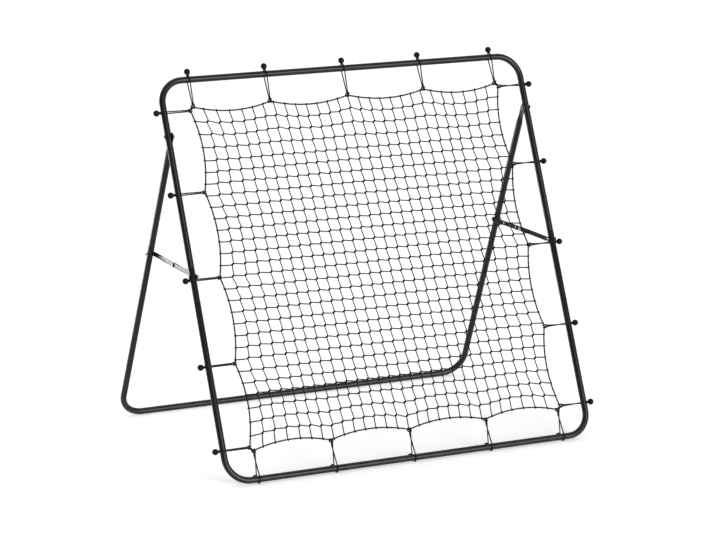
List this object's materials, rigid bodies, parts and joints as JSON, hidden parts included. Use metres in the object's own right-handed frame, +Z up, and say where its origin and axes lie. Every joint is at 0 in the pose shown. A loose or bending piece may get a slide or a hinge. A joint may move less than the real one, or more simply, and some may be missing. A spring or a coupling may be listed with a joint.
{
  "type": "soccer rebound net",
  "caption": "Leaning square tube frame with a mesh net held by elastic ball ties, propped by a hinged rear frame with folding flat-bar braces.",
  "frame": {"origin": "on the floor, under the middle of the bounding box", "axes": "+Z up, +X towards the viewer's right when facing the net, -Y towards the player, so the net leans back towards +Y"},
  "size_m": [1.2458, 0.8505, 1.1217],
  "materials": {
    "powder_coat": "satin black powder coat",
    "dark_steel": "black zinc",
    "bright_steel": "zinc plated",
    "net_twine": "matt braided twine",
    "bungee": "black elastic cord with a moulded plastic ball"
  },
  "bodies": {
    "ring": {"ring_upper": "powder_coat", "ring_lower": "powder_coat", "net": "net_twine", "border_rope": "net_twine", "pivot_bolt_left": "dark_steel", "pivot_bolt_right": "dark_steel", "pivot_nut_left": "bright_steel", "pivot_nut_right": "bright_steel", "brace_front_bolt_left": "dark_steel", "brace_front_bolt_right": "dark_steel", "brace_front_nut_left": "bright_steel", "brace_front_nut_right": "bright_steel", "bungee_bottom_1": "bungee", "bungee_bottom_2": "bungee", "bungee_bottom_3": "bungee", "bungee_bottom_4": "bungee", "bungee_bottom_5": "bungee", "bungee_left_1": "bungee", "bungee_left_2": "bungee", "bungee_left_3": "bungee", "bungee_left_4": "bungee", "bungee_left_5": "bungee", "bungee_right_1": "bungee", "bungee_right_2": "bungee", "bungee_right_3": "bungee", "bungee_right_4": "bungee", "bungee_right_5": "bungee", "bungee_top_1": "bungee", "bungee_top_2": "bungee", "bungee_top_3": "bungee", "bungee_top_4": "bungee", "bungee_top_5": "bungee"},
    "rear_frame": {"rear_leg_left": "powder_coat", "rear_leg_right": "powder_coat", "rear_base": "powder_coat", "brace_rear_bolt_left": "dark_steel", "brace_rear_bolt_right": "dark_steel", "brace_rear_nut_left": "bright_steel", "brace_rear_nut_right": "bright_steel"},
    "front_brace_left": {"front_bar_left": "powder_coat", "brace_mid_bolt_left": "dark_steel"},
    "front_brace_right": {"front_bar_right": "powder_coat", "brace_mid_bolt_right": "dark_steel"},
    "rear_brace_left": {"rear_bar_left": "powder_coat", "brace_mid_nut_left": "bright_steel"},
    "rear_brace_right": {"rear_bar_right": "powder_coat", "brace_mid_nut_right": "bright_steel"}
  },
  "joints": [
    {"name": "rear_frame_fold", "type": "hinge", "parent": "ring", "child": "rear_frame", "pos_m": [0, 0.00118, 0.94066], "axis": [-1, 0, 0], "range_deg": [0, 25]},
    {"name": "front_brace_left_fold", "type": "hinge", "parent": "ring", "child": "front_brace_left", "pos_m": [-0.5797, -0.16802, 0.56063], "axis": [1, 0, 0], "range_deg": [0, 48.2]},
    {"name": "front_brace_right_fold", "type": "hinge", "parent": "ring", "child": "front_brace_right", "pos_m": [0.5797, -0.16802, 0.56063], "axis": [1, 0, 0], "range_deg": [0, 48.2]},
    {"name": "rear_brace_left_fold", "type": "hinge", "parent": "rear_frame", "child": "rear_brace_left", "pos_m": [-0.57338, 0.17039, 0.56063], "axis": [-1, 0, 0], "range_deg": [0, 48.2]},
    {"name": "rear_brace_right_fold", "type": "hinge", "parent": "rear_frame", "child": "rear_brace_right", "pos_m": [0.57338, 0.17039, 0.56063], "axis": [-1, 0, 0], "range_deg": [0, 48.2]}
  ],
  "couplings": [
    {"joint": "front_brace_left_fold", "follows": "rear_frame_fold", "ratio": 1.9259},
    {"joint": "front_brace_right_fold", "follows": "rear_frame_fold", "ratio": 1.9259},
    {"joint": "rear_brace_left_fold", "follows": "rear_frame_fold", "ratio": 1.9259},
    {"joint": "rear_brace_right_fold", "follows": "rear_frame_fold", "ratio": 1.9259}
  ]
}
